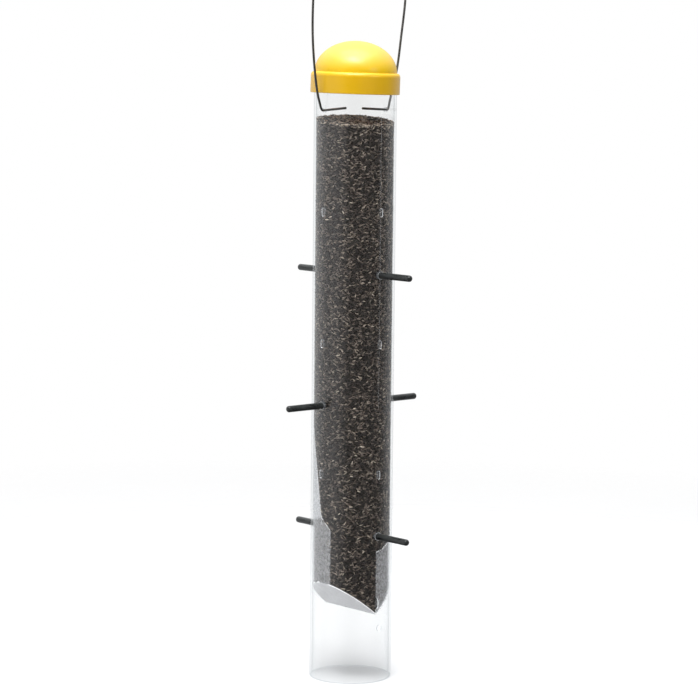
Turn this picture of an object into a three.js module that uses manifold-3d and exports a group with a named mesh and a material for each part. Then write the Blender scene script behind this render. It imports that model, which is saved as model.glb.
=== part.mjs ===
// A hanging tube feeder for thistle (Nyjer) seed: a clear tube with narrow feeding slots, three
// through perches, a folded seed baffle near the bottom, a domed lid and a bent wire bail.
// Units are millimetres and +Z is up. The origin is the hanging point, inside the bail's crown.
// Heights in this file are measured from the tube's open bottom end, and one group at the end
// moves them all down to the hanging point. The bail's hinge line and the middle perch lie
// along X, the upper and lower perches along Y.
import * as THREE from "three";
import { mergeVertices } from "three/addons/utils/BufferGeometryUtils.js";
import Module from "manifold-3d";

const wasm = await Module();
wasm.setup();

// ---------------------------------------------------------------- driving dimensions
const GAP = 0.35; // space left between pieces that touch
const ROUND = 72; // sides of the large round pieces

const TUBE_RADIUS = 31.75; // 2.5 in tube
const TUBE_WALL = 1.6;
const TUBE_LENGTH = 466.3;
const BORE_RADIUS = TUBE_RADIUS - TUBE_WALL;

const PERCH_RADIUS = 2.5;
const PERCH_LENGTH = 131.5;
const PERCH_END_ROUND = 2.0;
const LOWEST_PERCH_Z = 114.2;
const LEVEL_PITCH = 100.8; // between perches, and between rows of slots
const PERCHES = [
  { name: "perch_lower", level: 0, alongX: false },
  { name: "perch_middle", level: 1, alongX: true },
  { name: "perch_upper", level: 2, alongX: false },
];

const SLOT_WIDTH = 1.8;
const SLOT_HEIGHT = 6.0;
const LOWEST_SLOT_Z = 61.2;
const SLOT_ROWS = 4;
const FULL_TURN = [0, 90, 180, 270];
const LOWEST_ROW = [90, 270]; // the baffle leads the last seed to these two slots only
const DRAIN_HOLE_RADIUS = 2.2;
const DRAIN_HOLE_Z = 42;
const DRAIN_HOLE_ANGLE = 275;

const WIRE_RADIUS = 0.9;
const WIRE_SIDES = 10;
const STEPS_PER_SPAN = 4; // between two of the arch's points
const HINGE_Z = 440.7; // the two holes that the bail turns in
const BAIL_HOLE_RADIUS = 1.6;
const BAIL_RISE = 210; // from the hinge line to the hanging point
const HANG_Z = HINGE_Z + BAIL_RISE;

const CAP_RIM_RADIUS = 34.2;
const CAP_RIM_BORE = 32.35;
const CAP_RIM_HEIGHT = 16.1;
const CAP_LEDGE = 2.0; // thickness of the step that rests on the tube
const SHOULDER = { out: 2.2, rise: 3.2, steps: 5 }; // the rounded top corner of the rim
const DOME_RADIUS = 31.6;
const DOME_HEIGHT = 23.9;
const DOME_WALL = 1.8;
const DOME_STEPS = 10;
const CAP_TILT = 1.4; // degrees: the loose lid sits a little crooked
const CAP_TILT_TOWARDS = -41; // degrees from +X: the side of the lid that sits lower

const SHEET = 0.8; // thickness of the baffle's plastic sheet
const BAFFLE_RADIUS = BORE_RADIUS - GAP;
const CREASE_Z = 53.5; // the valley of the V-shaped floor, along Y
const FLOOR_SLOPE = 0.8;
const WINDOW_FROM = -164; // degrees from +X: the liner is open between these two edges
const WINDOW_TO = -90;
const LINER_TOP_Z = 130; // height of the liner's slanting top edge on the tube's axis
const LINER_TOP_SLOPE = [0.12, 0.96]; // rise per millimetre along X and Y
const FLAP_TURN = 139; // degrees from +X: the side on which the liner folds into a flap
const FLAP_BOTTOM = { out: 22.9, z: 122 };
const FLAP_TOP = { out: 30.2, z: 196 };
const PORT_WIDTH = 4.4; // openings in the liner behind the two lowest slots
const PORT_HEIGHT = 9;

const SEED_TOP_Z = 432; // on the tube's axis; the seed lies a little higher at the back
const SEED_TOP_SLOPE = [0.038, 0.113]; // rise per millimetre along X and Y

// ---------------------------------------------------------------- materials
const material = (color, roughness, metalness = 0, opacity = 1) =>
  new THREE.MeshStandardMaterial({
    color,
    roughness,
    metalness,
    opacity,
    transparent: opacity < 1,
  });
const clearPlastic = material(0xe9eef0, 0.08, 0, 0.25);
const yellowPlastic = material(0xf7c90c, 0.35);
const blackPlastic = material(0x303537, 0.4);
const darkWire = material(0x3a3a3b, 0.45, 0.6);
const milkySheet = material(0xd9dce0, 0.45, 0, 0.8);
const nyjerSeed = material(0x3b332d, 0.8);

// ---------------------------------------------------------------- solids
const degrees = THREE.MathUtils.degToRad;

function solid(geometry) {
  const bare = geometry.clone();
  bare.deleteAttribute("normal");
  bare.deleteAttribute("uv");
  const merged = mergeVertices(bare, 1e-4);
  return new wasm.Manifold(
    new wasm.Mesh({
      numProp: 3,
      vertProperties: merged.attributes.position.array,
      triVerts: new Uint32Array(merged.index.array),
    }),
  );
}

function geometryOf(body) {
  const mesh = body.getMesh();
  const geometry = new THREE.BufferGeometry();
  geometry.setAttribute(
    "position",
    new THREE.BufferAttribute(mesh.vertProperties, 3),
  );
  geometry.setIndex(new THREE.BufferAttribute(mesh.triVerts, 1));
  geometry.computeVertexNormals();
  return geometry;
}

const union = (solids) => solids.reduce((all, next) => all.add(next));

// A closed outline of [radius, height] points turned about Z.
function turned(profile, sides = ROUND) {
  const points = profile.map(([r, z]) => new THREE.Vector2(r, z));
  const geometry = new THREE.LatheGeometry(points, sides);
  return solid(geometry.rotateX(Math.PI / 2));
}

function disc(radius, from, to, sides = ROUND) {
  return turned(
    [
      [0, from],
      [radius, from],
      [radius, to],
      [0, to],
    ],
    sides,
  );
}

function shell(outer, inner, from, to) {
  return turned([
    [inner, from],
    [outer, from],
    [outer, to],
    [inner, to],
    [inner, from],
  ]);
}

// An outline in the XZ plane, extruded both ways along Y, then turned about Z.
function prism(outline, length, turn = 0) {
  const shape = new THREE.Shape(outline.map(([x, z]) => new THREE.Vector2(x, z)));
  const geometry = new THREE.ExtrudeGeometry(shape, {
    depth: length,
    bevelEnabled: false,
  });
  geometry.translate(0, 0, -length / 2).rotateX(Math.PI / 2);
  return solid(geometry.rotateZ(degrees(turn)));
}

// A round-ended upright slot, or a round hole where width and height are equal, cut radially
// through one wall at an angle from +X.
function radialCutter(width, height, z, angle) {
  const half = width / 2;
  const rise = (height - width) / 2;
  const shape = new THREE.Shape();
  shape.absarc(0, rise, half, 0, Math.PI);
  shape.absarc(0, -rise, half, Math.PI, 2 * Math.PI);
  const geometry = new THREE.ExtrudeGeometry(shape, {
    depth: 2 * TUBE_RADIUS,
    bevelEnabled: false,
    curveSegments: 8,
  });
  geometry.rotateX(Math.PI / 2).rotateZ(Math.PI / 2); // extruded along +X, height along Z
  return solid(geometry.rotateZ(degrees(angle)).translate(0, 0, z));
}

function rod(radius, length, alongX, z, sides = 20) {
  const geometry = new THREE.CylinderGeometry(radius, radius, length, sides);
  if (alongX) geometry.rotateZ(Math.PI / 2);
  return solid(geometry.translate(0, 0, z));
}

const perchZ = (level) => LOWEST_PERCH_Z + level * LEVEL_PITCH;
const perchTunnels = (clearance) =>
  union(
    PERCHES.map((p) =>
      rod(PERCH_RADIUS + clearance, PERCH_LENGTH, p.alongX, perchZ(p.level)),
    ),
  );

// ---------------------------------------------------------------- tube
function tube() {
  const cutters = [];
  for (let row = 0; row < SLOT_ROWS; row += 1) {
    const z = LOWEST_SLOT_Z + row * LEVEL_PITCH;
    for (const angle of row === 0 ? LOWEST_ROW : FULL_TURN) {
      cutters.push(radialCutter(SLOT_WIDTH, SLOT_HEIGHT, z, angle));
    }
  }
  const drain = 2 * DRAIN_HOLE_RADIUS;
  cutters.push(radialCutter(drain, drain, DRAIN_HOLE_Z, DRAIN_HOLE_ANGLE));
  cutters.push(rod(BAIL_HOLE_RADIUS, 4 * TUBE_RADIUS, true, HINGE_Z));
  cutters.push(perchTunnels(GAP));
  return shell(TUBE_RADIUS, BORE_RADIUS, 0, TUBE_LENGTH).subtract(union(cutters));
}

// ---------------------------------------------------------------- perches
// A rod with rounded ends, turned about Z and laid along its own direction by the caller.
function perch() {
  const half = PERCH_LENGTH / 2;
  const flat = PERCH_RADIUS - PERCH_END_ROUND;
  const steps = 4;
  const end = (side) => {
    const points = [];
    for (let i = 0; i <= steps; i += 1) {
      const turn = (i / steps) * (Math.PI / 2);
      points.push([
        flat + PERCH_END_ROUND * Math.sin(turn),
        side * (half - PERCH_END_ROUND + PERCH_END_ROUND * Math.cos(turn)),
      ]);
    }
    return points;
  };
  return turned([[0, -half], ...end(-1), ...end(1).reverse(), [0, half]], 20);
}

// ---------------------------------------------------------------- lid
// One moulding: a straight rim that slips over the tube, a step that rests on it and a flattened
// dome. Heights are from the underside of the step, where the lid meets the tube.
function cap() {
  const rimTop = CAP_LEDGE;
  const rimBottom = CAP_LEDGE - CAP_RIM_HEIGHT;
  const curve = (radius, base, height, from, to) => {
    const points = [];
    for (let i = 0; i <= DOME_STEPS; i += 1) {
      const turn = THREE.MathUtils.lerp(from, to, i / DOME_STEPS);
      points.push([radius * Math.cos(turn), base + height * Math.sin(turn)]);
    }
    return points;
  };
  const shoulder = [];
  for (let i = 0; i <= SHOULDER.steps; i += 1) {
    const turn = (i / SHOULDER.steps) * (Math.PI / 2);
    shoulder.push([
      CAP_RIM_RADIUS - SHOULDER.out * (1 - Math.cos(turn)),
      rimTop - SHOULDER.rise * (1 - Math.sin(turn)),
    ]);
  }
  const outside = curve(DOME_RADIUS, rimTop, DOME_HEIGHT, 0, Math.PI / 2);
  const inside = curve(
    DOME_RADIUS - DOME_WALL,
    0,
    DOME_HEIGHT + CAP_LEDGE - DOME_WALL,
    Math.PI / 2,
    0,
  );
  outside[DOME_STEPS][0] = 0; // exactly on the axis
  inside[0][0] = 0;
  return turned([
    ...inside,
    [CAP_RIM_BORE, 0],
    [CAP_RIM_BORE, rimBottom],
    [CAP_RIM_RADIUS, rimBottom],
    ...shoulder,
    ...outside,
  ]);
}

// ---------------------------------------------------------------- bail
// Curves laid end to end in the XZ plane. Each has its own share of the steps, so that the tight
// bends are as round as the long arch.
class WireRoute extends THREE.Curve {
  constructor(pieces) {
    super();
    this.pieces = pieces;
    this.steps = pieces.reduce((sum, piece) => sum + piece.steps, 0);
  }

  getPoint(t, target = new THREE.Vector3()) {
    let place = t * this.steps;
    for (const piece of this.pieces) {
      if (place <= piece.steps || piece === this.pieces.at(-1)) {
        const share = THREE.MathUtils.clamp(place / piece.steps, 0, 1);
        return piece.curve.getPoint(share, target);
      }
      place -= piece.steps;
    }
    return target;
  }

  getUtoTmapping(u) {
    return u;
  }
}

// Each arm's own points, as distance from the tube's axis and rise above the hinge: hand-bent
// wire, so the left arm bows in sooner than the right one.
const LEFT_ARM = [
  [35.2, 4.0],
  [38.1, 13.5],
  [41.2, 33],
  [43.2, 57],
  [43.0, 82],
  [40.6, 112],
  [34.5, 145],
  [24.0, 177],
];
const RIGHT_ARM = [
  [34.6, 4.4],
  [37.4, 14.5],
  [42.4, 32],
  [46.4, 57],
  [50.1, 84],
  [50.8, 108],
  [48.0, 133],
  [40.0, 160],
  [27.0, 184],
];
const CROWN = [11.0, 200.5]; // where each arm starts its last bend, the same on both sides
const BEND_START = 32.3; // along the hinge line, just outside the tube
const BEND_CORNER = 34.0;
const INNER_ENDS = [
  { side: -1, reach: 9.4, rise: 1.6 },
  { side: 1, reach: 7.0, rise: 1.2 },
];

function bail() {
  const at = (x, rise) => new THREE.Vector3(x, 0, HINGE_Z + rise);
  const arms = [LEFT_ARM, RIGHT_ARM];
  const arch = [
    ...LEFT_ARM.map(([out, rise]) => at(-out, rise)),
    at(-CROWN[0], CROWN[1]),
    at(0, BAIL_RISE + WIRE_RADIUS),
    at(CROWN[0], CROWN[1]),
    ...RIGHT_ARM.map(([out, rise]) => at(out, rise)).reverse(),
  ];
  const ends = INNER_ENDS.map(({ side, reach, rise }, i) => {
    const [out, lift] = arms[i][0];
    return {
      line: [at(side * reach, rise), at(side * BEND_START, 0)],
      bend: [at(side * BEND_START, 0), at(side * BEND_CORNER, 0), at(side * out, lift)],
    };
  });
  const line = ([a, b]) => new THREE.LineCurve3(a, b);
  const bend = (points) => new THREE.QuadraticBezierCurve3(...points);
  const route = new WireRoute([
    { curve: line(ends[0].line), steps: 3 },
    { curve: bend(ends[0].bend), steps: 5 },
    {
      curve: new THREE.CatmullRomCurve3(arch, false, "centripetal"),
      steps: STEPS_PER_SPAN * (arch.length - 1),
    },
    { curve: bend([...ends[1].bend].reverse()), steps: 5 },
    { curve: line([...ends[1].line].reverse()), steps: 3 },
  ]);
  const section = new THREE.Shape();
  for (let i = 0; i < WIRE_SIDES; i += 1) {
    const turn = (i / WIRE_SIDES) * 2 * Math.PI;
    const point = [WIRE_RADIUS * Math.cos(turn), WIRE_RADIUS * Math.sin(turn)];
    if (i === 0) section.moveTo(...point);
    else section.lineTo(...point);
  }
  const geometry = new THREE.ExtrudeGeometry(section, {
    steps: route.steps,
    bevelEnabled: false,
    extrudePath: route,
  });
  return solid(geometry);
}

// ---------------------------------------------------------------- baffle
const REACH = 2 * TUBE_RADIUS; // longer than anything inside the tube

// The V-shaped floor's top face at a distance from the crease.
const floorZ = (x) => CREASE_Z + FLOOR_SLOPE * Math.abs(x);

function vee(above, below) {
  return prism(
    [
      [-REACH, floorZ(REACH) + above],
      [0, CREASE_Z + above],
      [REACH, floorZ(REACH) + above],
      [REACH, floorZ(REACH) - below],
      [0, CREASE_Z - below],
      [-REACH, floorZ(REACH) - below],
    ],
    REACH,
  );
}

// Everything beyond the flap's inner face: thick, as far as the tube reaches.
function flapRegion(inward, thickness, from, to) {
  const run = (FLAP_TOP.out - FLAP_BOTTOM.out) / (FLAP_TOP.z - FLAP_BOTTOM.z);
  const out = (z) => FLAP_BOTTOM.out + run * (z - FLAP_BOTTOM.z) - inward;
  return prism(
    [
      [out(from), from],
      [out(from) + thickness, from],
      [out(to) + thickness, to],
      [out(to), to],
    ],
    REACH,
    FLAP_TURN,
  );
}

// A block wider than the tube, whose top is a slanting plane.
function underSlant([alongX, alongY], topOnAxis, depth) {
  const block = new THREE.BoxGeometry(REACH, REACH, depth);
  block.translate(0, 0, topOnAxis - depth / 2);
  const position = block.attributes.position;
  for (let i = 0; i < position.count; i += 1) {
    const lean = alongX * position.getX(i) + alongY * position.getY(i);
    position.setZ(i, position.getZ(i) + lean);
  }
  return solid(block);
}

// The sector that the liner is open in, narrowed at both edges by a clearance.
function windowWedge(narrow) {
  const from = degrees(WINDOW_FROM) + narrow / BAFFLE_RADIUS;
  const to = degrees(WINDOW_TO) - narrow / BAFFLE_RADIUS;
  const shape = new THREE.Shape();
  shape.moveTo(0, 0);
  shape.lineTo(REACH * Math.cos(from), REACH * Math.sin(from));
  shape.absarc(0, 0, REACH, from, to);
  const height = FLAP_TOP.z;
  return solid(new THREE.ExtrudeGeometry(shape, { depth: height, bevelEnabled: false }));
}

// The folded sheet before its openings are cut, or the space it needs when grown by a clearance.
function foldedSheet(grow = 0) {
  const outer = BAFFLE_RADIUS + grow;
  const inner = BAFFLE_RADIUS - SHEET - grow;
  const top = FLAP_TOP.z + grow;
  const wall = shell(outer, inner, CREASE_Z - SHEET - grow, top);
  const core = disc(outer, CREASE_Z - SHEET - grow, top);
  const fromFloorUp = vee(2 * REACH, SHEET + grow);
  const pocketWall = wall.intersect(
    flapRegion(grow, REACH, FLAP_BOTTOM.z - grow, top + grow),
  );
  const liner = wall
    .intersect(underSlant(LINER_TOP_SLOPE, LINER_TOP_Z + grow, 2 * REACH))
    .subtract(windowWedge(grow))
    .intersect(fromFloorUp)
    .add(pocketWall);
  const flap = core.intersect(
    flapRegion(grow, SHEET + 2 * grow, FLAP_BOTTOM.z - grow, top),
  );
  const floor = core.intersect(vee(grow, SHEET + grow));
  return union([liner, flap, floor]);
}

function baffle() {
  const ports = LOWEST_ROW.map((angle) =>
    radialCutter(PORT_WIDTH, PORT_HEIGHT, LOWEST_SLOT_Z, angle),
  );
  const aboveFloor = vee(REACH, 0);
  return foldedSheet()
    .subtract(union(ports).intersect(aboveFloor))
    .subtract(perchTunnels(GAP));
}

// ---------------------------------------------------------------- seed
// The sheet's space parts a full column in two, and the seed is the large part above it.
function seedFill() {
  const filled = disc(BORE_RADIUS - GAP, 0, TUBE_LENGTH).intersect(
    underSlant(SEED_TOP_SLOPE, SEED_TOP_Z, SEED_TOP_Z),
  );
  const pocket = flapRegion(GAP, REACH, FLAP_BOTTOM.z, FLAP_TOP.z + GAP);
  const parted = filled
    .subtract(foldedSheet(GAP))
    .subtract(pocket)
    .subtract(perchTunnels(GAP));
  return parted.decompose().reduce((a, b) => (a.volume() > b.volume() ? a : b));
}

// ---------------------------------------------------------------- assembly
function piece(name, body, look) {
  const mesh = new THREE.Mesh(geometryOf(body), look);
  mesh.name = name;
  return mesh;
}

const feeder = new THREE.Group();
feeder.position.z = -HANG_Z;
feeder.add(piece("tube", tube(), clearPlastic));
feeder.add(piece("seed_baffle", baffle(), milkySheet));
feeder.add(piece("seed_fill", seedFill(), nyjerSeed));
feeder.add(piece("bail", bail(), darkWire));

const perchBody = perch();
for (const { name, level, alongX } of PERCHES) {
  const mesh = piece(name, perchBody, blackPlastic);
  if (alongX) mesh.rotation.y = Math.PI / 2;
  else mesh.rotation.x = Math.PI / 2;
  mesh.position.z = perchZ(level);
  feeder.add(mesh);
}

const lid = new THREE.Group();
const lowSide = degrees(CAP_TILT_TOWARDS);
const tiltAxis = new THREE.Vector3(-Math.sin(lowSide), Math.cos(lowSide), 0);
lid.quaternion.setFromAxisAngle(tiltAxis, degrees(CAP_TILT));
lid.position.z = TUBE_LENGTH + GAP + TUBE_RADIUS * Math.tan(degrees(CAP_TILT));
lid.add(piece("cap", cap(), yellowPlastic));
feeder.add(lid);

const part = new THREE.Group();
part.add(feeder);

export default part;
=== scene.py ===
"""Looks for the hanging tube feeder, built round its solid model. Lengths are in metres."""

import math

import bmesh
import bpy
import numpy as np
from mathutils import Matrix, Vector
from mathutils.bvhtree import BVHTree


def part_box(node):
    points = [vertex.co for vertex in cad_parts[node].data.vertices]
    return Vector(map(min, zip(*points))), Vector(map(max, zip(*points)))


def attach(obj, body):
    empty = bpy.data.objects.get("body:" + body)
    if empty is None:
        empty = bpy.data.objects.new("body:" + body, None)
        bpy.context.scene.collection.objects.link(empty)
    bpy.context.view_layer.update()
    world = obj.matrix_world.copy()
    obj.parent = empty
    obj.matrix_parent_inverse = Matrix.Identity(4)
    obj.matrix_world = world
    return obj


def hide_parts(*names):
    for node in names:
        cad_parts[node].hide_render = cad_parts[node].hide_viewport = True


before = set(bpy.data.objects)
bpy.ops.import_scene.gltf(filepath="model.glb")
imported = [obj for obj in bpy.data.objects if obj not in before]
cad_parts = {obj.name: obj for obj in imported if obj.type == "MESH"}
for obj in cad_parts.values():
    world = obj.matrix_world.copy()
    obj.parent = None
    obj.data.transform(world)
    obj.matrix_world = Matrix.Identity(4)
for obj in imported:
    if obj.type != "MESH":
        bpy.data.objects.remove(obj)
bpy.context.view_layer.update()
rng = np.random.default_rng(20539)

MM = 0.001
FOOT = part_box("tube")[0].z  # the tube's open end; heights below are measured from here
TUBE_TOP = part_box("tube")[1].z


def height(mm):
    return FOOT + mm * MM


# ---------------------------------------------------------------- sizes, as the solid model has them
TUBE_R, BORE_R = 31.75 * MM, 30.15 * MM
PERCH_R, PERCH_HALF, PERCH_ROUND = 2.5 * MM, 65.75 * MM, 2.0 * MM
PERCH_CLEARANCE = 0.35 * MM
PERCH_Z = {"perch_lower": 114.2, "perch_middle": 215.0, "perch_upper": 315.8}
SLOT_HALF_W, SLOT_HALF_H = 0.9 * MM, 3.0 * MM
SLOT_Z = (61.2, 162.0, 262.8, 363.6)
DRAIN_Z, DRAIN_R = 42.0, 2.2 * MM
DRAIN_SHIFT = math.radians(5)  # the drain hole's place round the tube, from the slots' line
DRAIN_SHIFT_ENDS = 48, 55  # heights between which the wall's grid turns back
HINGE_Z, BAIL_HOLE_R, WIRE_R = 440.7, 1.6 * MM, 0.9 * MM
BAIL_RISE = 210.0
SEED_R = 29.8 * MM
CREASE_Z, SHEET_SLOPE = 53.5, 0.8  # the folded sheet's crease, and how steeply it rises beside it

# ---------------------------------------------------------------- the studio's floor
FLOOR_DROP = 0.6 * MM  # the foot is just clear of the floor
FLOOR_FADE = 0.25, 1.1  # the floor fades into the white behind between these distances
FLOOR_RINGS = 0.0, 0.3, 0.6, 1.0, 1.6, 2.4


# ---------------------------------------------------------------- mesh helpers
def new_object(name, verts, faces, materials, face_slots=None, sharp_degrees=32):
    """A smooth-shaded mesh object, with edges over the angle kept sharp."""
    mesh = bpy.data.meshes.new(name)
    mesh.from_pydata([tuple(v) for v in verts], [], [tuple(f) for f in faces])
    for material in materials:
        mesh.materials.append(material)
    if face_slots is not None:
        mesh.polygons.foreach_set("material_index", face_slots)
    mesh.validate()
    obj = bpy.data.objects.new(name, mesh)
    bpy.context.scene.collection.objects.link(obj)
    work = bmesh.new()
    work.from_mesh(mesh)
    bmesh.ops.remove_doubles(work, verts=work.verts, dist=1e-7)
    bmesh.ops.recalc_face_normals(work, faces=work.faces)
    limit = math.radians(sharp_degrees)
    for face in work.faces:
        face.smooth = True
    for edge in work.edges:
        edge.smooth = len(edge.link_faces) == 2 and edge.calc_face_angle(0) < limit
    work.to_mesh(mesh)
    work.free()
    return obj


def lathe(name, profile, sides, materials, place):
    """An outline of (radius, height) points turned about Z, then moved by a matrix."""
    verts, faces, rings = [], [], []
    for radius, z in profile:
        if radius < 1e-9:
            verts.append((0, 0, z))
            rings.append([len(verts) - 1] * sides)
            continue
        first = len(verts)
        for i in range(sides):
            turn = 2 * math.pi * i / sides
            verts.append((radius * math.cos(turn), radius * math.sin(turn), z))
        rings.append(list(range(first, first + sides)))
    for low, high in zip(rings, rings[1:]):
        for i in range(sides):
            j = (i + 1) % sides
            corners = [low[i], low[j], high[j], high[i]]
            face = [v for k, v in enumerate(corners) if v not in corners[:k]]
            if len(face) > 2:
                faces.append(face)
    moved = [place @ Vector(v) for v in verts]
    return new_object(name, moved, faces, materials)


def arc(centre, radii, start, end, steps):
    """Points on an elliptical arc in the (radius, height) plane, angles in degrees."""
    angles = np.radians(np.linspace(start, end, steps + 1))
    return [
        (centre[0] + radii[0] * math.cos(a), centre[1] + radii[1] * math.sin(a))
        for a in angles
    ]


# ---------------------------------------------------------------- material helpers
class Nodes:
    """A short way to write a node tree."""

    def __init__(self, name):
        self.material = bpy.data.materials.new(name)
        self.material.use_nodes = True
        self.tree = self.material.node_tree
        self.tree.nodes.clear()

    def add(self, kind, inputs=None, **settings):
        node = self.tree.nodes.new(kind)
        for key, value in settings.items():
            setattr(node, key, value)
        for key, value in (inputs or {}).items():
            self.feed(node.inputs[key], value)
        return node

    def feed(self, socket, value):
        if isinstance(value, bpy.types.NodeSocket):
            self.tree.links.new(value, socket)
        else:
            socket.default_value = value

    def noise(self, scale, detail=3.0, stretch=(1, 1, 1), rough=0.55):
        where = self.add("ShaderNodeTexCoord").outputs["Object"]
        mapped = self.add("ShaderNodeMapping", {"Vector": where, "Scale": stretch})
        settings = {"Vector": mapped.outputs[0], "Scale": scale, "Detail": detail}
        node = self.add("ShaderNodeTexNoise", {**settings, "Roughness": rough})
        return node.outputs["Fac"]

    def ramp(self, value, stops, smooth=False):
        node = self.add("ShaderNodeValToRGB", {"Fac": value})
        elements = node.color_ramp.elements
        while len(elements) < len(stops):
            elements.new(0.5)
        for element, (place, colour) in zip(elements, stops):
            element.position = place
            element.color = (*colour, 1)
        node.color_ramp.interpolation = "EASE" if smooth else "LINEAR"
        return node.outputs["Color"]

    def spread(self, value, low, high, old_low=0.0, old_high=1.0):
        ranges = {"From Min": old_low, "From Max": old_high, "To Min": low, "To Max": high}
        node = self.add("ShaderNodeMapRange", {"Value": value, **ranges})
        return node.outputs["Result"]

    def mix(self, factor, a, b, blend="MIX"):
        node = self.add("ShaderNodeMix", data_type="RGBA", blend_type=blend)
        self.feed(node.inputs[0], factor)
        self.feed(node.inputs[6], a)
        self.feed(node.inputs[7], b)
        return node.outputs[2]

    def maths(self, operation, a, b=None):
        node = self.add("ShaderNodeMath", operation=operation)
        self.feed(node.inputs[0], a)
        if b is not None:
            self.feed(node.inputs[1], b)
        return node.outputs[0]

    def bump(self, value, strength, distance, normal=None):
        inputs = {"Height": value, "Strength": strength, "Distance": distance}
        if normal is not None:
            inputs["Normal"] = normal
        return self.add("ShaderNodeBump", inputs).outputs["Normal"]

    def finish(self, shader):
        self.add("ShaderNodeOutputMaterial", {"Surface": shader})
        return self.material


def clear_wall(name, head_on, edge_on):
    """Clear tube: see-through, greyer where the wall is seen edge on, and glossy. head_on and
    edge_on are the shares that it mirrors."""
    n = Nodes(name)
    facing = n.add("ShaderNodeLayerWeight", {"Blend": 0.5}).outputs["Facing"]
    edge = n.maths("POWER", facing, 3.0)
    through = n.mix(edge, (0.984, 0.986, 0.986, 1), (0.82, 0.83, 0.835, 1))
    clear = n.add("ShaderNodeBsdfTransparent", {"Color": through})
    drawn = n.noise(900, 2.0, (1, 1, 0.015))
    waves = n.bump(drawn, 0.05, 0.0002)
    dust = n.spread(n.noise(260, 4.0), 0.03, 0.12, 0.35, 0.8)
    gloss = n.add("ShaderNodeBsdfGlossy", {"Roughness": dust, "Normal": waves})
    gloss.inputs["Color"].default_value = (0.97, 0.98, 0.985, 1)
    share = n.spread(n.maths("POWER", facing, 5.0), head_on, edge_on)
    both = n.add("ShaderNodeMixShader", {0: share, 1: clear.outputs[0], 2: gloss.outputs[0]})
    return n.finish(both.outputs[0])


def cut_wall(name, least, most):
    """The sawn ends and drilled sides of the clear tube: frosted, with a share of milkiness."""
    n = Nodes(name)
    grain = n.noise(2400, 4.0)
    tone = n.ramp(grain, [(0.3, (0.62, 0.64, 0.66)), (0.7, (0.86, 0.88, 0.9))])
    normal = n.bump(grain, 0.4, 0.0001)
    milky = n.add("ShaderNodeBsdfPrincipled", {"Base Color": tone, "Normal": normal})
    milky.inputs["Roughness"].default_value = 0.35
    clear = n.add("ShaderNodeBsdfTransparent", {"Color": (0.9, 0.92, 0.93, 1)})
    share = n.spread(grain, least, most, 0.3, 0.7)
    both = n.add("ShaderNodeMixShader", {0: share, 1: clear.outputs[0], 2: milky.outputs[0]})
    return n.finish(both.outputs[0])


def yellow_plastic():
    """Bright yellow moulding that lets a little light through, more in the thin dome than in the
    rim: soft gloss, faint flow marks and a very fine skin texture."""
    n = Nodes("yellow_plastic")
    flow = n.noise(55, 3.0, (1, 1, 0.35))
    skin = n.noise(2600, 2.0)
    # The rim is painted a darker amber and the dome a lighter yellow: painted shade on the upright
    # rim, which the light from above reaches less, and painted light on the dome, lit from above and
    # through its thin wall.
    rim = n.ramp(flow, [(0.3, (0.47, 0.275, 0.001)), (0.7, (0.505, 0.3, 0.001))], True)
    dome = n.ramp(flow, [(0.3, (0.545, 0.37, 0.002)), (0.7, (0.58, 0.395, 0.002))], True)
    where = n.add("ShaderNodeTexCoord").outputs["Object"]
    z = n.add("ShaderNodeSeparateXYZ", {"Vector": where}).outputs["Z"]
    thin = n.spread(z, 0.0, 1.0, TUBE_TOP, TUBE_TOP + 5 * MM)
    # Painted highlight: the dome's crown is painted a paler, whiter yellow for the broad gloss of
    # the lamps above it.
    crown_painted_highlight = n.spread(z, 0.0, 1.0, TUBE_TOP + 5 * MM, TUBE_TOP + 17 * MM)
    tone = n.mix(thin, rim, n.mix(crown_painted_highlight, dome, (0.5, 0.37, 0.06, 1)))
    rough = n.spread(n.noise(380, 4.0), 0.27, 0.38, 0.3, 0.7)
    normal = n.bump(skin, 0.08, 0.00008, n.bump(flow, 0.05, 0.0006))
    body = n.add(
        "ShaderNodeBsdfPrincipled",
        {"Base Color": tone, "Roughness": rough, "Normal": normal},
    )
    body.inputs["Specular IOR Level"].default_value = 0.6
    glow = n.add("ShaderNodeBsdfTranslucent", {"Color": (0.95, 0.6, 0.02, 1)})
    share = n.spread(thin, 0.14, 0.27)
    both = n.add("ShaderNodeMixShader", {0: share, 1: body.outputs[0], 2: glow.outputs[0]})
    return n.finish(both.outputs[0])


def black_plastic():
    """Charcoal perch rod: satin, with drawn lines along it, light scuffs and a little dust."""
    n = Nodes("charcoal_rod")
    scuff = n.noise(420, 5.0, (0.25, 0.25, 1))
    tone = n.ramp(scuff, [(0.35, (0.008, 0.009, 0.009)), (0.72, (0.024, 0.026, 0.026))])
    rough = n.spread(scuff, 0.22, 0.42, 0.3, 0.75)
    normal = n.bump(n.noise(1500, 3.0), 0.12, 0.0001)
    body = n.add(
        "ShaderNodeBsdfPrincipled",
        {"Base Color": tone, "Roughness": rough, "Normal": normal},
    )
    body.inputs["Specular IOR Level"].default_value = 0.35
    return n.finish(body.outputs[0])


def coated_wire():
    """Dark coated steel wire: satin, mottled, with paler worn flecks."""
    n = Nodes("coated_wire")
    mottle = n.noise(700, 4.0)
    wear = n.noise(240, 6.0)
    tone = n.ramp(mottle, [(0.3, (0.06, 0.058, 0.055)), (0.7, (0.15, 0.143, 0.132))])
    worn = n.ramp(wear, [(0.66, (0, 0, 0)), (0.74, (1, 1, 1))])
    colour = n.mix(worn, tone, (0.3, 0.27, 0.23, 1))
    rough = n.spread(mottle, 0.3, 0.5, 0.3, 0.7)
    body = n.add(
        "ShaderNodeBsdfPrincipled",
        {"Base Color": colour, "Roughness": rough, "Normal": n.bump(mottle, 0.2, 0.0001)},
    )
    body.inputs["Metallic"].default_value = 0.9
    return n.finish(body.outputs[0])


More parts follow.
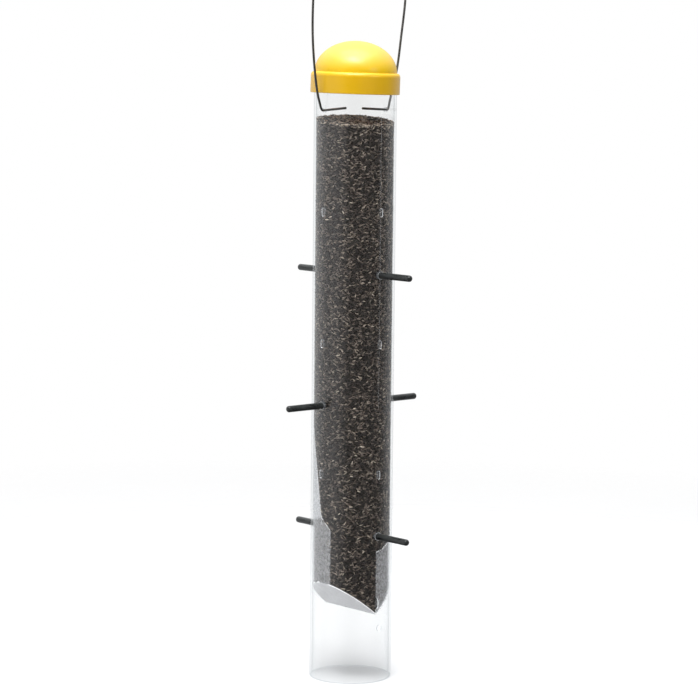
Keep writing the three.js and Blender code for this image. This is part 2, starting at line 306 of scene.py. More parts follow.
def milky_plastic(name, share):
    """Thin milky sheet, lit from both sides. share is how much of it hides what lies behind:
    two numbers, for where the seed leaves it and where it touches."""
    n = Nodes(name)
    cloud = n.noise(180, 4.0)
    tone = n.ramp(cloud, [(0.3, (0.8, 0.8, 0.82)), (0.7, (0.9, 0.9, 0.915))])
    normal = n.bump(n.noise(900, 3.0), 0.12, 0.0002, n.bump(n.noise(60, 2.0), 0.25, 0.002))
    body = n.add("ShaderNodeBsdfPrincipled", {"Base Color": tone, "Normal": normal})
    body.inputs["Roughness"].default_value = 0.32
    glow = n.add("ShaderNodeBsdfTranslucent", {"Color": tone, "Normal": normal})
    milk = n.add("ShaderNodeMixShader", {0: 0.4, 1: body.outputs[0], 2: glow.outputs[0]})
    clear = n.add("ShaderNodeBsdfTransparent", {"Color": (0.95, 0.955, 0.96, 1)})
    touching = n.noise(620, 3.0, (1, 1, 0.75), 0.7)
    hidden = n.spread(touching, share[0], share[1], 0.33, 0.67)
    both = n.add("ShaderNodeMixShader", {0: hidden, 1: clear.outputs[0], 2: milk.outputs[0]})
    return n.finish(both.outputs[0])


def sheet_edge_painted_glow():
    """The sheet's cut edges: pale, and given a painted glow so that they show as thin light lines.
    """
    n = Nodes("sheet_edge_painted_glow")
    grain = n.noise(1400, 3.0)
    tone = n.ramp(grain, [(0.3, (0.86, 0.865, 0.87)), (0.7, (0.95, 0.95, 0.95))])
    body = n.add("ShaderNodeBsdfPrincipled", {"Base Color": tone})
    body.inputs["Roughness"].default_value = 0.4
    body.inputs["Emission Color"].default_value = (1, 1, 1, 1)
    body.inputs["Emission Strength"].default_value = 0.3  # painted glow on the cut edges, which are no lamp
    glow = n.add("ShaderNodeBsdfTranslucent", {"Color": tone})
    both = n.add("ShaderNodeMixShader", {0: 0.35, 1: body.outputs[0], 2: glow.outputs[0]})
    return n.finish(both.outputs[0])


def seed_skin():
    """Seed coats: each seed has its own tone, from black-brown to pale husk, with mottling."""
    n = Nodes("seed_skin")
    tone = n.add("ShaderNodeAttribute", attribute_name="seed_tone").outputs["Fac"]
    stops = [
        (0.0, (0.008, 0.0065, 0.006)),
        (0.4, (0.033, 0.026, 0.022)),
        (0.65, (0.14, 0.112, 0.093)),
        (0.85, (0.38, 0.325, 0.265)),
        (1.0, (0.62, 0.55, 0.45)),
    ]
    coat = n.ramp(tone, stops)
    mottle = n.noise(1300, 3.0)
    shade = n.ramp(mottle, [(0.3, (0.6, 0.6, 0.6)), (0.7, (1.35, 1.32, 1.28))])
    colour = n.mix(1.0, coat, shade, "MULTIPLY")
    rough = n.spread(mottle, 0.22, 0.45, 0.3, 0.7)
    body = n.add("ShaderNodeBsdfPrincipled", {"Base Color": colour, "Roughness": rough})
    return n.finish(body.outputs[0])


def seed_shadow():
    """What shows in the gaps between the seeds of the outer layer: more seed, in shade."""
    n = Nodes("seed_shadow")
    grain = n.noise(520, 4.0, (1, 1, 2.2))
    tone = n.ramp(grain, [(0.35, (0.004, 0.0035, 0.003)), (0.75, (0.035, 0.029, 0.025))])
    body = n.add("ShaderNodeBsdfPrincipled", {"Base Color": tone})
    body.inputs["Roughness"].default_value = 0.8
    n.feed(body.inputs["Normal"], n.bump(grain, 0.8, 0.0006))
    return n.finish(body.outputs[0])


def pale_floor():
    """The studio's plain floor, barely uneven in tone."""
    n = Nodes("pale_floor")
    grain = n.noise(3, 3.0)
    tone = n.ramp(grain, [(0.3, (0.525, 0.527, 0.535)), (0.7, (0.545, 0.546, 0.55))])
    body = n.add("ShaderNodeBsdfPrincipled", {"Base Color": tone})
    body.inputs["Roughness"].default_value = 0.9
    body.inputs["Specular IOR Level"].default_value = 0.0
    where = n.add("ShaderNodeTexCoord").outputs["Object"]
    flat = n.add("ShaderNodeVectorMath", {0: where, 1: (1, 1, 0)}, operation="MULTIPLY")
    reach = n.add("ShaderNodeVectorMath", {0: flat.outputs[0]}, operation="LENGTH")
    gone = n.spread(reach.outputs["Value"], 0.0, 1.0, FLOOR_FADE[0], FLOOR_FADE[1])
    beyond = n.add("ShaderNodeBsdfTransparent")
    both = n.add("ShaderNodeMixShader", {0: gone, 1: body.outputs[0], 2: beyond.outputs[0]})
    return n.finish(both.outputs[0])


# ---------------------------------------------------------------- camera
AIM_TURN = math.radians(40.9962)  # the camera stands this far round from -Y, towards -X
DISTANCE, CAMERA_Z = 2.0753, 493.6
YAW, PITCH, ROLL = -0.0015, 0.1137, 0.0094
FOCAL = 2702.73 / 698  # in frame widths

right = Vector((math.cos(AIM_TURN), -math.sin(AIM_TURN), 0))
away = Vector((math.sin(AIM_TURN), math.cos(AIM_TURN), 0))
up = Vector((0, 0, 1))


def make_camera():
    across = math.cos(YAW) * right - math.sin(YAW) * away
    ahead = math.sin(YAW) * right + math.cos(YAW) * away
    forward = math.cos(PITCH) * ahead - math.sin(PITCH) * up
    above = math.sin(PITCH) * ahead + math.cos(PITCH) * up
    cam_x = math.cos(ROLL) * across + math.sin(ROLL) * above
    cam_y = -math.sin(ROLL) * across + math.cos(ROLL) * above
    data = bpy.data.cameras.new("camera")
    data.sensor_width = 36
    data.lens = FOCAL * data.sensor_width
    data.clip_end = 100
    camera = bpy.data.objects.new("camera", data)
    axes = Matrix((cam_x, cam_y, -forward)).transposed().to_4x4()
    camera.matrix_world = (
        Matrix.Translation(-DISTANCE * away + Vector((0, 0, height(CAMERA_Z)))) @ axes
    )
    bpy.context.scene.collection.objects.link(camera)
    bpy.context.scene.camera = camera


make_camera()

# ---------------------------------------------------------------- tube
HOLES = {0: [], 1: [], 2: [], 3: []}  # quarter turns from +X: (height, outline function)


def circle(radius):
    def outline(count):
        turns = 2 * np.pi * np.arange(count) / count
        return np.stack([radius * np.cos(turns), radius * np.sin(turns)], 1)

    return outline


def stadium(half_w, half_h):
    def outline(count):
        turns = np.linspace(0, 2 * np.pi, 721)
        lift = np.where(np.sin(turns) >= 0, half_h - half_w, half_w - half_h)
        points = np.stack([half_w * np.cos(turns), half_w * np.sin(turns) + lift], 1)
        points = np.concatenate([points[:1] * [1, 0], points[1:-1], points[:1] * [1, 0]])
        steps = np.hypot(*np.diff(points, axis=0).T)
        travelled = np.concatenate([[0], np.cumsum(steps)])
        wanted = travelled[-1] * np.arange(count) / count
        return np.stack([np.interp(wanted, travelled, points[:, k]) for k in (0, 1)], 1)

    return outline


slot = stadium(SLOT_HALF_W, SLOT_HALF_H)
for quarter in range(4):
    for row_z in SLOT_Z[1:] if quarter in (0, 2) else SLOT_Z:
        HOLES[quarter].append((row_z, slot))
    rods = ("perch_middle",) if quarter in (0, 2) else ("perch_lower", "perch_upper")
    for rod in rods:
        HOLES[quarter].append((PERCH_Z[rod], circle(PERCH_R + PERCH_CLEARANCE)))
for quarter in (0, 2):
    HOLES[quarter].append((HINGE_Z, circle(BAIL_HOLE_R)))
HOLES[3].append((DRAIN_Z, circle(DRAIN_R)))

PATCH_TURN, PATCH_HALF_H = math.radians(8.4), 5.5  # each hole's patch of wall
PATCH_COLS, PATCH_ROWS, PLAIN_COLS = 8, 12, 22
LIP = 0.3 * MM  # the softened edge round each hole
END_SOFT = 0.25 * MM
OUTER, INNER, CUT, EDGE = 0, 1, 2, 3  # the wall's material slots


def drain_shift(turn, z):
    """How far the wall's grid is turned round the drain hole, which is off the slots' line."""
    above = np.interp(z, [height(end) for end in DRAIN_SHIFT_ENDS], (1, 0))
    beside = np.interp(abs(turn - 1.5 * math.pi), (PATCH_TURN, math.pi / 2 - PATCH_TURN), (1, 0))
    return DRAIN_SHIFT * above * beside


def build_tube():
    """The wall as a grid of quads on two cylinders, with rings of quads round every hole."""
    verts, faces, slots, index = [], [], [], {}

    def point(turn, z, radius):
        turn = turn % (2 * math.pi)
        key = (round(turn, 7) % round(2 * math.pi, 7), round(z, 8), round(radius, 8))
        if key not in index:
            index[key] = len(verts)
            turn += drain_shift(turn, z)
            verts.append((radius * math.cos(turn), radius * math.sin(turn), z))
        return index[key]

    def quad(a, b, c, d, look=OUTER):
        if len({a, b, c, d}) > 2:
            faces.append([v for k, v in enumerate((a, b, c, d)) if v not in (a, b, c, d)[:k]])
            slots.append(look)

    def grid(turns, levels):
        for t0, t1 in zip(turns, turns[1:]):
            for z0, z1 in zip(levels, levels[1:]):
                for radius, look in ((TUBE_R, OUTER), (BORE_R, INNER)):
                    corners = [(t0, z0), (t1, z0), (t1, z1), (t0, z1)]
                    quad(*[point(t, z, radius) for t, z in corners], look)

    def patch(middle, turns, levels, z_mid, outline):
        border = (
            [(turns[-1], z) for z in levels[len(levels) // 2 : -1]]
            + [(t, levels[-1]) for t in turns[::-1][:-1]]
            + [(turns[0], z) for z in levels[::-1][:-1]]
            + [(t, levels[0]) for t in turns[:-1]]
            + [(turns[-1], z) for z in levels[: len(levels) // 2]]
        )
        shape = outline(len(border))
        centre = shape.mean(0)
        spread = shape - centre
        wider = spread * (1 + LIP / np.hypot(*spread.T))[:, None] + centre

        def on_wall(points, radius):
            return [
                (middle + math.asin(x / radius), z_mid + z, radius) for x, z in points
            ]

        def border_at(radius):
            return [(t, z, radius) for t, z in border]

        def between(a, b, share):
            return [tuple(p + (q - p) * share for p, q in zip(u, v)) for u, v in zip(a, b)]

        rings = []
        for radius, side in ((TUBE_R, 1), (BORE_R, -1)):
            outer, lip = border_at(radius), on_wall(wider, radius)
            run = [outer, between(outer, lip, 0.45), between(outer, lip, 0.8), lip]
            run.append(on_wall(shape, radius - side * 0.6 * LIP))
            rings += run if side > 0 else run[::-1]
        for k, (a, b) in enumerate(zip(rings, rings[1:])):
            look = [OUTER, OUTER, OUTER, EDGE, CUT, CUT, INNER, INNER, INNER][k]
            for i in range(len(border)):
                j = (i + 1) % len(border)
                quad(point(*a[i]), point(*a[j]), point(*b[j]), point(*b[i]), look)

    every = sorted({z for holes in HOLES.values() for z, _ in holes})
    levels_of = {
        z: [height(z + PATCH_HALF_H * (2 * i / PATCH_ROWS - 1)) for i in range(PATCH_ROWS + 1)]
        for z in every
    }
    foot, top = FOOT + END_SOFT, TUBE_TOP - END_SOFT
    edges = [foot] + [e for z in every for e in (levels_of[z][0], levels_of[z][-1])] + [top]
    plain = [
        list(np.linspace(a, b, max(2, int((b - a) / (9 * MM)) + 2)))
        for a, b in zip(edges[::2], edges[1::2])
    ]
    for quarter in range(4):
        middle = quarter * math.pi / 2
        near = [middle + PATCH_TURN * (2 * i / PATCH_COLS - 1) for i in range(PATCH_COLS + 1)]
        far = list(np.linspace(near[-1], middle + math.pi / 2 - PATCH_TURN, PLAIN_COLS + 1))
        for levels in plain:
            grid(near, levels)
            grid(far, levels)
        for z in every:
            grid(far, levels_of[z])
            outline = next((o for hole_z, o in HOLES[quarter] if hole_z == z), None)
            if outline is None:
                grid(near, levels_of[z])
            else:
                patch(middle, near, levels_of[z], height(z), outline)
        for t0, t1 in zip(near + far[1:], (near + far[1:])[1:]):
            for z_end, z_soft in ((FOOT, foot), (TUBE_TOP, top)):
                ring = [
                    (z_soft, TUBE_R),
                    (z_end, TUBE_R - END_SOFT),
                    (z_end, BORE_R + END_SOFT),
                    (z_soft, BORE_R),
                ]
                for (za, ra), (zb, rb) in zip(ring, ring[1:]):
                    corners = [(t0, za, ra), (t1, za, ra), (t1, zb, rb), (t0, zb, rb)]
                    quad(*[point(*c) for c in corners], CUT)
    return verts, faces, slots


def make_tube():
    verts, faces, slots = build_tube()
    looks = [
        clear_wall("clear_wall", 0.06, 0.4),
        clear_wall("clear_bore", 0.015, 0.2),
        cut_wall("cut_wall", 0.1, 0.22),
        cut_wall("cut_edge", 0.7, 0.95),
    ]
    tube = new_object("clear_tube_body", verts, faces, looks, slots)
    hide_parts("tube")
    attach(tube, "feeder")


make_tube()


# ---------------------------------------------------------------- perches
def make_perches():
    rod_look = black_plastic()
    flat = PERCH_R - PERCH_ROUND
    tip = arc((flat, PERCH_HALF - PERCH_ROUND), (PERCH_ROUND, PERCH_ROUND), 0, 90, 8)
    straight = PERCH_HALF - PERCH_ROUND
    side = [(PERCH_R, z) for z in np.linspace(-straight, straight, 30)]
    lower_tip = [(r, -z) for r, z in tip[::-1]]
    profile = [(0, -PERCH_HALF), *lower_tip, *side[1:-1], *tip, (0, PERCH_HALF)]
    for name, z in PERCH_Z.items():
        along = Matrix.Rotation(math.pi / 2, 4, "Y" if name == "perch_middle" else "X")
        place = Matrix.Translation((0, 0, height(z))) @ along
        rod = lathe(name + "_rod", profile, 40, [rod_look], place)
        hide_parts(name)
        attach(rod, "feeder")


make_perches()

# ---------------------------------------------------------------- lid
CAP_RIM_R, CAP_BORE_R, RIM_LOW, RIM_TOP = 34.2 * MM, 32.35 * MM, -14.1 * MM, 2.0 * MM
DOME_R, DOME_H, DOME_WALL = 31.6 * MM, 23.9 * MM, 1.8 * MM
SHOULDER = (2.2 * MM, 3.2 * MM)  # the rim's rounded top edge: in, down
LID_GAP = 0.35 * MM  # between the lid's seat and the tube's end
LID_TILT, LID_LOW_SIDE = math.radians(1.4), math.radians(-41)
RIM_SOFT, SEAT_CHAMFER, SEAT_FILLET, DOME_GROOVE = 0.45 * MM, 0.4 * MM, 0.5 * MM, 0.2 * MM


def make_lid():
    tilt_axis = Vector((-math.sin(LID_LOW_SIDE), math.cos(LID_LOW_SIDE), 0))
    seat = TUBE_TOP + LID_GAP + TUBE_R * math.tan(LID_TILT)
    place = Matrix.Translation((0, 0, seat)) @ Matrix.Rotation(LID_TILT, 4, tilt_axis)
    soft, chamfer, fillet, groove = RIM_SOFT, SEAT_CHAMFER, SEAT_FILLET, DOME_GROOVE
    bore_side = np.linspace(-1 * MM, RIM_LOW + 0.5 * MM, 8)
    rim_side = np.linspace(RIM_LOW + 1 * MM, RIM_TOP - SHOULDER[1] - 0.5 * MM, 8)
    inside = arc((0, 0), (DOME_R - DOME_WALL, DOME_H + RIM_TOP - DOME_WALL), 90, 2, 26)
    profile = [
        (0, inside[0][1]),
        *inside[1:],
        *arc((DOME_R - DOME_WALL + fillet, fillet), (fillet, fillet), 180, 270, 4),
        (CAP_BORE_R - chamfer, 0),
        (CAP_BORE_R, -chamfer),
        *[(CAP_BORE_R, z) for z in bore_side],
        *arc((CAP_BORE_R + soft, RIM_LOW + soft), (soft, soft), 180, 270, 4),
        *arc((CAP_RIM_R - soft, RIM_LOW + soft), (soft, soft), 270, 360, 5),
        *[(CAP_RIM_R, z) for z in rim_side],
        *arc((CAP_RIM_R - SHOULDER[0], RIM_TOP - SHOULDER[1]), SHOULDER, 0, 88, 12),
    ]
    profile += arc((DOME_R + groove, RIM_TOP + groove), (groove, groove), 270, 180, 4)
    dome = arc((0, RIM_TOP), (DOME_R, DOME_H), 1.5, 90, 40)
    profile += dome[:-1] + [(0, RIM_TOP + DOME_H)]
    lid = lathe("lid_moulding", profile, 144, [yellow_plastic()], place)
    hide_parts("cap")
    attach(lid, "lid")


make_lid()

# ---------------------------------------------------------------- bail
# Millimetres (across, up) from the middle of the hinge line, and outward for the two arms.
LEFT_ARM = [
    (35.2, 4.0), (38.1, 13.5), (41.2, 33), (43.2, 57),
    (43.0, 82), (40.6, 112), (34.5, 145), (24.0, 177),
]
RIGHT_ARM = [
    (34.6, 4.4), (37.4, 14.5), (42.4, 32), (46.4, 57), (50.1, 84),
    (50.8, 108), (48.0, 133), (40.0, 160), (27.0, 184),
]
CROWN = (11.0, 200.5)
CROWN_DROP = 0.06  # keeps the wire's top just under the solid model's
BEND_START, BEND_CORNER = 32.3, 34.0
LEFT_END, RIGHT_END = (-9.4, 1.6), (7.0, 1.2)
WIRE_END_SOFT = 0.25 * MM


def centripetal(points, steps):
    """A centripetal Catmull-Rom curve through the points."""
    pts = [np.array(p, float) for p in points]
    pts = [2 * pts[0] - pts[1], *pts, 2 * pts[-1] - pts[-2]]
    out = []
    for p0, p1, p2, p3 in zip(pts, pts[1:], pts[2:], pts[3:]):
        d0, d1, d2 = (math.sqrt(np.linalg.norm(b - a)) for a, b in ((p0, p1), (p1, p2), (p2, p3)))
        t1 = ((p1 - p0) / d0 - (p2 - p0) / (d0 + d1) + (p2 - p1) / d1) * d1
        t2 = ((p2 - p1) / d1 - (p3 - p1) / (d1 + d2) + (p3 - p2) / d2) * d1
        for k in range(steps):
            t = k / steps
            out.append(
                (2 * p1 - 2 * p2 + t1 + t2) * t**3
                + (-3 * p1 + 3 * p2 - 2 * t1 - t2) * t**2
                + t1 * t
                + p1
            )
    return out + [pts[-2]]


def bend(a, b, c, steps=10):
    """A quadratic curve from a to c that is drawn towards the corner b."""
    a, b, c = (np.array(p, float) for p in (a, b, c))
    shares = np.linspace(0, 1, steps + 1)
    return [(1 - t) ** 2 * a + 2 * t * (1 - t) * b + t * t * c for t in shares]


def make_bail():
    left = [(-x, z) for x, z in LEFT_ARM]
    apex = (0, BAIL_RISE + WIRE_R / MM - CROWN_DROP)
    arch = [*left, (-CROWN[0], CROWN[1]), apex, CROWN, *RIGHT_ARM[::-1]]
    left_bend = bend((-BEND_START, 0), (-BEND_CORNER, 0), left[0])
    right_bend = bend(RIGHT_ARM[0], (BEND_CORNER, 0), (BEND_START, 0))
    line = [LEFT_END, *left_bend[:-1], *centripetal(arch, 10), *right_bend[1:], RIGHT_END]
    path = [Vector((x * MM, 0, height(HINGE_Z + z))) for x, z in line]
    sides = 20
    verts, rings = [], []

    def ring(centre, along, radius):
        side_a, side_b = Vector((0, 1, 0)), along.cross(Vector((0, 1, 0))).normalized()
        rings.append(len(verts))
        for i in range(sides):
            turn = 2 * math.pi * i / sides
            verts.append(centre + radius * (math.cos(turn) * side_a + math.sin(turn) * side_b))

    soft = WIRE_END_SOFT
    for i, p in enumerate(path):
        before, after = path[max(i - 1, 0)], path[min(i + 1, len(path) - 1)]
        along = (after - before).normalized()
        if i == 0:
            ring(p, along, WIRE_R - soft)
            ring(p + along * soft, along, WIRE_R)
        elif i == len(path) - 1:
            ring(p - along * soft, along, WIRE_R)
            ring(p, along, WIRE_R - soft)
        else:
            ring(p, along, WIRE_R)
    faces = [list(range(sides)), [rings[-1] + i for i in range(sides)]]
    for a, b in zip(rings, rings[1:]):
        faces += [[a + i, a + (i + 1) % sides, b + (i + 1) % sides, b + i] for i in range(sides)]
    wire = new_object("bail_wire", verts, faces, [coated_wire()], sharp_degrees=40)
    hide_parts("bail")
    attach(wire, "hanger")


make_bail()

# ---------------------------------------------------------------- seed
SEED_SIDES = 5
SEED_LAYERS = 34000  # seeds against the wall of the tube
TOP_SEEDS, UNDER_SEEDS = 2600, 1500
SIDE, TOP, UNDER = 0, 1, 2  # the face of the mass that a seed lies against
RAY_START, RAY_REACH = 0.05, 0.06  # from the tube's axis, and inwards from there
TURN_JITTER, LAYER_JITTER = 0.012, 20  # in turns, and in places along the spiral
HEAP = 1.6 * MM  # how far the top seeds may stand up
WALL_GAP = 0.08 * MM  # between seed and bore
CORE_INSET = 0.9 * MM
CORE_SHARP = 0.6  # edges over this angle, in radians, stay sharp
LEAST_COSINE = 0.35  # limits how far a sharp corner of the core moves in
SEED_PIECES = ("seeds_foot", "seeds_lower", "seeds_middle", "seeds_upper")


def cad_tree(node):
    """The solid model's surface for one node, to aim rays at."""
    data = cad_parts[node].data
    verts = [v.co.copy() for v in data.vertices]
    return BVHTree.FromPolygons(verts, [tuple(p.vertices) for p in data.polygons])


def seed_sites():
    """Points on the seed's surface, each with the surface's normal, spread evenly."""
    tree = cad_tree("seed_fill")
    low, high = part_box("seed_fill")
    golden = (math.sqrt(5) - 1) / 2
    sites = []
    spin = rng.uniform(-0.5, 0.5, (SEED_LAYERS, 2))
    for i in range(SEED_LAYERS):
        turn = 2 * math.pi * ((i * golden + TURN_JITTER * spin[i, 0]) % 1)
        z = low.z + (high.z - low.z) * (i + 0.5 + LAYER_JITTER * spin[i, 1]) / SEED_LAYERS
        out = Vector((math.cos(turn), math.sin(turn), 0))
        hit, normal, _, _ = tree.ray_cast(out * RAY_START + Vector((0, 0, z)), -out, RAY_REACH)
        if hit is not None and hit.x * out.x + hit.y * out.y > 0:
            sites.append((hit, normal, SIDE))
    for count, start, aim, kind in (
        (TOP_SEEDS, high.z + 0.01, -1, TOP),
        (UNDER_SEEDS, low.z - 0.01, 1, UNDER),
    ):
        for i in range(count):
            reach = SEED_R * math.sqrt((i + 0.5) / count)
            turn = 2 * math.pi * i * golden
            origin = Vector((reach * math.cos(turn), reach * math.sin(turn), start))
            hit, normal, _, _ = tree.ray_cast(origin, Vector((0, 0, aim)), 0.6)
            if hit is not None:
                sites.append((hit, normal, kind))
    return sites


def make_seeds():
    sites = seed_sites()
    count = len(sites)
    hit = np.array([s[0] for s in sites])
    normal = np.array([s[1] for s in sites])
    kind = np.array([s[2] for s in sites])
    length = rng.normal(3.3, 0.45, count).clip(2.2, 4.8) * MM
    width = rng.normal(0.44, 0.06, count).clip(0.32, 0.65) * MM  # half width
    level = np.cross(normal, (0, 0, 1.0))
    flat = np.linalg.norm(level, axis=1) < 0.05
    level[flat] = (1, 0, 0)
    level /= np.linalg.norm(level, axis=1)[:, None]
    rise = np.cross(normal, level)
    lean = np.where(kind == SIDE, rng.normal(0, 0.62, count), rng.uniform(-3.15, 3.15, count))
    tip = rng.normal(0, np.where(kind == TOP, 0.3, 0.11), count)
    along = level * np.cos(lean)[:, None] + rise * np.sin(lean)[:, None]
    along = along * np.cos(tip)[:, None] + normal * np.sin(tip)[:, None]
    side = np.cross(normal, along)
    side /= np.linalg.norm(side, axis=1)[:, None]
    face = np.cross(along, side)
    depth = width * 0.85 + rng.uniform(0, 0.5, count) ** 1.5 * MM
    depth -= np.where(kind == TOP, rng.uniform(0, 1.5, count) * MM, 0)
    centre = hit - normal * depth[:, None]
    roll = rng.uniform(0, 2 * np.pi, count)
    curve = rng.uniform(-0.12, 0.12, count)

    # Each seed is a slender, slightly bent spindle: a tip, two rings and a blunter tip.
    stations = [(-0.5, 0.0), (-0.18, 0.92), (0.27, 1.0), (0.5, 0.0)]
    parts = []
    for place, fat in stations:
        spine = centre + along * (place * length)[:, None]
        spine = spine + side * (curve * length * (0.25 - place * place))[:, None]
        if fat == 0:
            parts.append(spine[:, None, :])
            continue
        turns = roll[:, None] + 2 * np.pi * np.arange(SEED_SIDES) / SEED_SIDES
        around = (
            side[:, None, :] * np.cos(turns)[:, :, None]
            + face[:, None, :] * 0.85 * np.sin(turns)[:, :, None]
        )
        parts.append(spine[:, None, :] + around * (fat * width)[:, None, None])
    verts = np.concatenate(parts, axis=1)  # tip, ring, ring, tip

    # Where a seed would stick out past the surface it lies against, that side of it is flush.
    proud = np.einsum("svk,sk->sv", verts - hit[:, None, :], normal)
    allowed = np.where(kind == TOP, HEAP, 0.0)[:, None]
    verts -= normal[:, None, :] * np.maximum(proud - allowed, 0)[:, :, None]
    reach = np.hypot(verts[..., 0], verts[..., 1])
    verts[..., :2] *= np.minimum(1, (BORE_R - WALL_GAP) / np.maximum(reach, 1e-9))[..., None]

    n = SEED_SIDES
    ring_a, ring_b, far_tip = 1, 1 + n, 1 + 2 * n
    local = []
    for i in range(n):
        j = (i + 1) % n
        local += [(0, ring_a + j, ring_a + i), (ring_a + i, ring_a + j, ring_b + j)]
        local += [(ring_a + i, ring_b + j, ring_b + i), (ring_b + i, ring_b + j, far_tip)]
    local = np.array(local)
    tone = rng.beta(1.0, 1.5, count) * 0.76
    husk = rng.random(count)
    tone = np.where(husk < 0.16, rng.uniform(0.6, 0.78, count), tone)
    tone = np.where(husk < 0.02, rng.uniform(0.78, 0.92, count), tone)
    tone = np.where(husk < 0.003, 1.0, tone)
    # Painted light: many seeds on the top face of the mass are painted pale, for the light that
    # falls on them from above and through the lid.
    tone = np.where((kind == TOP) & (husk < 0.4), rng.uniform(0.75, 0.93, count), tone)

    skin = seed_skin()
    groups = np.array_split(np.argsort(centre[:, 2]), len(SEED_PIECES))
    made = []
    for name, chosen in zip(SEED_PIECES, groups):
        points = verts[chosen].reshape(-1, 3)
        per = verts.shape[1]
        tris = (local[None] + per * np.arange(len(chosen))[:, None, None]).reshape(-1, 3)
        mesh = bpy.data.meshes.new(name)
        mesh.vertices.add(len(points))
        mesh.vertices.foreach_set("co", points.astype(np.float32).ravel())
        mesh.loops.add(tris.size)
        mesh.loops.foreach_set("vertex_index", tris.astype(np.int32).ravel())
        mesh.polygons.add(len(tris))
        mesh.polygons.foreach_set("loop_start", np.arange(0, tris.size, 3, dtype=np.int32))
        mesh.update(calc_edges=True)
        mesh.polygons.foreach_set("use_smooth", np.ones(len(tris), bool))
        tones = mesh.attributes.new("seed_tone", "FLOAT", "POINT")
        tones.data.foreach_set("value", np.repeat(tone[chosen], per).astype(np.float32))
        mesh.materials.append(skin)
        obj = bpy.data.objects.new(name, mesh)
        bpy.context.scene.collection.objects.link(obj)
        made.append(obj)
    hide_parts("seed_fill")
    for obj in made:
        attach(obj, "feeder")


def make_seed_core():
    """The mass of seed behind the outer layer, a little inside the solid model's surface."""
    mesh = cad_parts["seed_fill"].data.copy()
    mesh.materials.clear()
    mesh.materials.append(seed_shadow())
    core = bpy.data.objects.new("seed_core", mesh)
    bpy.context.scene.collection.objects.link(core)
    work = bmesh.new()
    work.from_mesh(mesh)
    bmesh.ops.remove_doubles(work, verts=work.verts, dist=1e-6)
    bmesh.ops.recalc_face_normals(work, faces=work.faces)
    work.normal_update()
    moves = []
    for vert in work.verts:
        # Far enough in that every face beside the corner sits inset by the same amount.
        normals = [f.normal for f in vert.link_faces]
        mean = sum(normals, Vector()).normalized()
        worst = max(LEAST_COSINE, min(mean.dot(n) for n in normals))
        moves.append((vert, mean * (CORE_INSET / worst)))
    for vert, move in moves:
        vert.co -= move
    for face in work.faces:
        face.smooth = True
    for edge in work.edges:
        edge.smooth = len(edge.link_faces) == 2 and edge.calc_face_angle(0) < CORE_SHARP
    work.to_mesh(mesh)
    work.free()
    for layer in list(mesh.attributes):
        if layer.name.startswith("custom_normal"):
            mesh.attributes.remove(layer)
    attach(core, "feeder")


make_seeds()
make_seed_core()


# ---------------------------------------------------------------- baffle
def make_baffle():
    """The folded sheet, with looks of its own for the liner, the floor and the cut edges."""
    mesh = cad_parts["seed_baffle"].data.copy()
    mesh.materials.clear()
    mesh.materials.append(milky_plastic("milky_liner", (0.12, 0.41)))
    mesh.materials.append(milky_plastic("milky_floor", (0.86, 0.94)))
    mesh.materials.append(sheet_edge_painted_glow())
    liner, floor, edge = range(3)
    for face in mesh.polygons:
        middle, normal = face.center, face.normal
        out = Vector((middle.x, middle.y, 0)).normalized()
        floor_z = height(CREASE_Z) + SHEET_SLOPE * abs(middle.x)
        if middle.z < floor_z + 0.2 * MM:
            face.material_index = floor if abs(normal.z) > 0.5 else edge
        elif abs(normal.dot(out)) > 0.9 or abs(normal.z) < 0.3 and face.area > 12 * MM * MM:
            face.material_index = liner
        else:
            face.material_index = edge
    sheet = bpy.data.objects.new("folded_sheet", mesh)
    bpy.context.scene.collection.objects.link(sheet)
    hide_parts("seed_baffle")
    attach(sheet, "feeder")


make_baffle()


# ---------------------------------------------------------------- stage, lights and surroundings
def make_stage():
    verts, faces = [], []
    rings, sides = FLOOR_RINGS, 48
    for radius in rings:
        for i in range(sides):
            turn = 2 * math.pi * i / sides
            verts.append((radius * math.cos(turn), radius * math.sin(turn), FOOT - FLOOR_DROP))
    for r in range(len(rings) - 1):
        for i in range(sides):
            j = (i + 1) % sides
            faces.append([r * sides + i, r * sides + j, (r + 1) * sides + j, (r + 1) * sides + i])
    floor = new_object("floor", verts, faces, [pale_floor()])
    floor.visible_glossy = False


def make_lamp(name, round_degrees, distance, z, size, power, mirrored=True):
    """An area lamp facing the middle of the tube. Degrees run from the camera's side, positive
    to the camera's right. One that isn't mirrored leaves no sharp-edged panel in the gloss."""
    turn = math.radians(round_degrees)
    out = -away * math.cos(turn) + right * math.sin(turn)
    data = bpy.data.lights.new(name, "AREA")
    data.shape, data.size, data.size_y, data.energy = "RECTANGLE", size[0], size[1], power
    lamp = bpy.data.objects.new(name, data)
    lamp.visible_glossy = mirrored
    target = Vector((0, 0, height(250)))
    lamp.location = out * distance + Vector((0, 0, height(z)))
    lamp.rotation_euler = (target - lamp.location).to_track_quat("-Z", "Y").to_euler()
    bpy.context.scene.collection.objects.link(lamp)


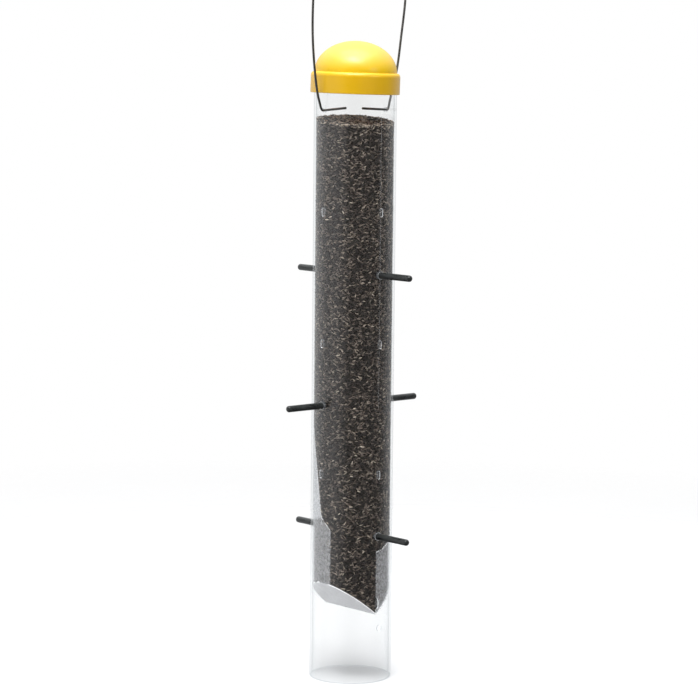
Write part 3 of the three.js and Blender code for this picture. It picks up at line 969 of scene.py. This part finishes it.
def make_world():
    """White behind the object; in its gloss and light a soft room, bright above, behind and to
    the left."""
    world = bpy.data.worlds.new("studio")
    bpy.context.scene.world = world
    world.use_nodes = True
    nodes, links = world.node_tree.nodes, world.node_tree.links
    nodes.clear()
    where = nodes.new("ShaderNodeTexCoord").outputs["Generated"]

    def toward(direction, start, end, strength):
        dot = nodes.new("ShaderNodeVectorMath")
        dot.operation = "DOT_PRODUCT"
        links.new(where, dot.inputs[0])
        dot.inputs[1].default_value = direction
        ranged = nodes.new("ShaderNodeMapRange")
        ranged.interpolation_type = "SMOOTHSTEP"
        links.new(dot.outputs["Value"], ranged.inputs["Value"])
        for key, value in (("From Min", start), ("From Max", end), ("To Max", strength)):
            ranged.inputs[key].default_value = value
        return ranged.outputs["Result"]

    def plus(a, b):
        node = nodes.new("ShaderNodeMath")
        node.operation = "ADD"
        links.new(a, node.inputs[0])
        if isinstance(b, float):
            node.inputs[1].default_value = b
        else:
            links.new(b, node.inputs[1])
        return node.outputs[0]

    behind = toward(tuple(away), -0.25, 0.75, 0.8)
    left = toward(tuple(-right), 0.05, 1.0, 0.6)
    above = toward((0, 0, 1), 0.2, 0.95, 0.9)
    total = plus(plus(behind, 0.07), plus(left, above))
    room = nodes.new("ShaderNodeBackground")
    links.new(total, room.inputs["Strength"])
    room.inputs["Color"].default_value = (0.98, 0.99, 1.0, 1)
    white = nodes.new("ShaderNodeBackground")
    white.inputs["Color"].default_value = (1, 1, 1, 1)
    path = nodes.new("ShaderNodeLightPath")
    mix = nodes.new("ShaderNodeMixShader")
    links.new(path.outputs["Is Camera Ray"], mix.inputs[0])
    links.new(room.outputs[0], mix.inputs[1])
    links.new(white.outputs[0], mix.inputs[2])
    out = nodes.new("ShaderNodeOutputWorld")
    links.new(mix.outputs[0], out.inputs["Surface"])


make_stage()
make_world()
# name, degrees round, distance, height in mm, size, watts
make_lamp("softbox_left", -60, 1.7, 420, (1.6, 1.9), 9, mirrored=False)
make_lamp("fill_front", 25, 2.2, 420, (1.4, 1.4), 8, mirrored=False)
make_lamp("strip_right", 78, 1.7, 195, (0.1, 0.42), 0.17)
make_lamp("softbox_above", -10, 0.3, 1650, (1.3, 1.3), 20)
make_lamp("softbox_lid", -8, 0.2, 1080, (0.55, 0.55), 7.5, mirrored=False)
make_lamp("softbox_high", -6, 0.75, 1750, (0.6, 0.4), 14)
make_lamp("spot_right", 53, 1.6, 900, (0.14, 0.14), 2.5)
bpy.context.scene.view_settings.view_transform = "Standard"
